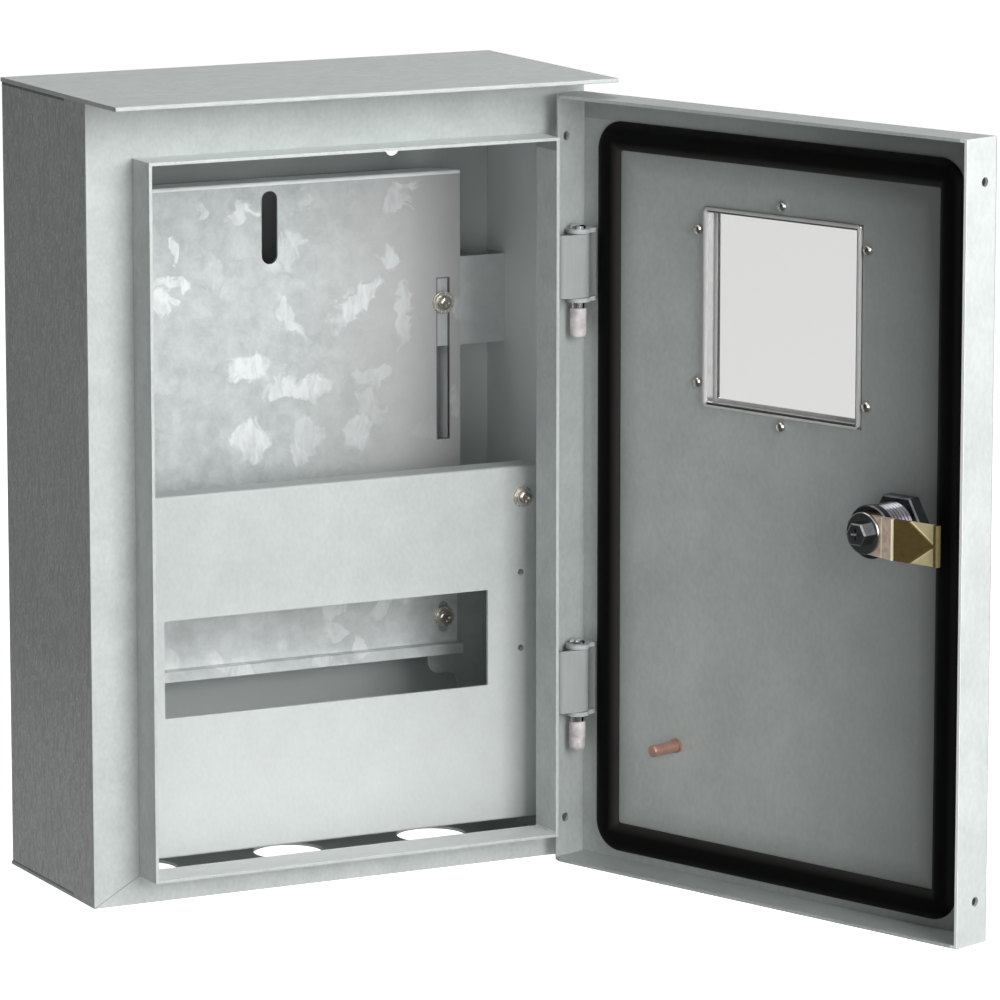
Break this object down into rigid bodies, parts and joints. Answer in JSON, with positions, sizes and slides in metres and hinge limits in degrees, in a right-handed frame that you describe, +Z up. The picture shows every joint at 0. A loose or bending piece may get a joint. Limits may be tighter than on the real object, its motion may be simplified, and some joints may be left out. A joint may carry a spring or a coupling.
{
  "type": "electrical enclosure",
  "caption": "Grey sheet-steel wall enclosure with an open hinged door, door window, quarter-turn lock, meter plate and module rail behind a slotted cover.",
  "frame": {"origin": "centre of the wall fixing holes, on the outside of the back wall", "axes": "+Y out of the back towards the wall, +Z up, +X to the right seen from the front"},
  "size_m": [0.3379, 0.345, 0.377],
  "materials": {
    "grey_paint": "satin",
    "galvanised": "satin",
    "yellow_zinc": "satin",
    "chrome": "polished",
    "pale_plastic": "gloss",
    "black_foam": "matte",
    "grey_plastic": "gloss",
    "clear_pane": "polished",
    "rivet_aluminium": "satin",
    "brass": "satin",
    "dark_steel": "satin",
    "copper": "satin"
  },
  "bodies": {
    "body": {"bottom_plate": "grey_paint", "cover": "grey_paint", "cover_angle_left": "galvanised", "cover_angle_right": "galvanised", "cover_screws": "yellow_zinc", "cover_washers": "yellow_zinc", "din_rail": "galvanised", "front_frame": "grey_paint", "hinge_leaf_lower": "grey_paint", "hinge_leaf_upper": "grey_paint", "meter_plate": "galvanised", "plate_bracket_left": "galvanised", "plate_bracket_right": "galvanised", "plate_screws": "yellow_zinc", "plate_washers": "yellow_zinc", "rail_bracket_left": "galvanised", "rail_bracket_right": "galvanised", "rail_screws": "yellow_zinc", "rail_washers": "yellow_zinc", "roof": "grey_paint", "shell": "grey_paint"},
    "door": {"door_gasket": "black_foam", "door_pan": "grey_paint", "earth_stud": "copper", "hinge_bracket_lower": "grey_paint", "hinge_bracket_upper": "grey_paint", "hinge_grip_lower": "pale_plastic", "hinge_grip_upper": "pale_plastic", "hinge_pin_lower": "chrome", "hinge_pin_upper": "chrome", "lock_housing": "chrome", "lock_nut": "chrome", "window_frame": "grey_plastic", "window_pane": "clear_pane", "window_rivets": "rivet_aluminium", "window_seal": "black_foam"},
    "lock": {"lock_rotor": "chrome", "lock_washer": "chrome", "lock_cam": "brass", "lock_cam_screw": "dark_steel"}
  },
  "joints": [
    {"name": "door_hinge", "type": "hinge", "parent": "body", "child": "door", "pos_m": [0.1178, -0.113, 0], "axis": [0, 0, 1], "range_deg": [-109.7, 8]},
    {"name": "lock_turn", "type": "hinge", "parent": "door", "child": "lock", "pos_m": [0.19392, -0.29, -0.0015], "axis": [-0.9415, -0.3371, 0], "range_deg": [0, 90]}
  ]
}
